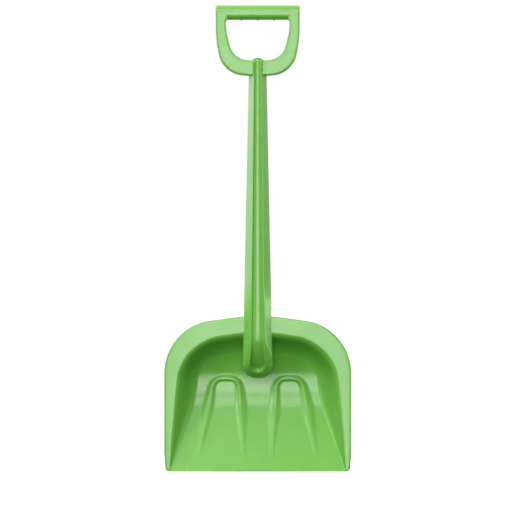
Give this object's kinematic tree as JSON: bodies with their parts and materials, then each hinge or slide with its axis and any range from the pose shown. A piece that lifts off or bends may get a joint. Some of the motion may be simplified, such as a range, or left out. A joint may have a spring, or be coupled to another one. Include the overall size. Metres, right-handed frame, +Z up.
{
  "type": "snow shovel",
  "caption": "Short moulded snow shovel: deep flanged scoop with stiffening beads, open-backed grooved shaft and a D-handle.",
  "frame": {"origin": "middle of the grip bar, where the shovel is held or hung", "axes": "+Z up along the shaft, +X to the right across the blade, the scoop opens towards -Y"},
  "size_m": [0.265, 0.0614, 0.66],
  "materials": {
    "green_plastic": "satin moulded polypropylene",
    "screw_steel": "zinc plated"
  },
  "bodies": {
    "root": {"blade": "green_plastic", "shaft": "green_plastic", "d_handle": "green_plastic", "blade_screws": "screw_steel", "handle_screws": "screw_steel"}
  },
  "joints": []
}
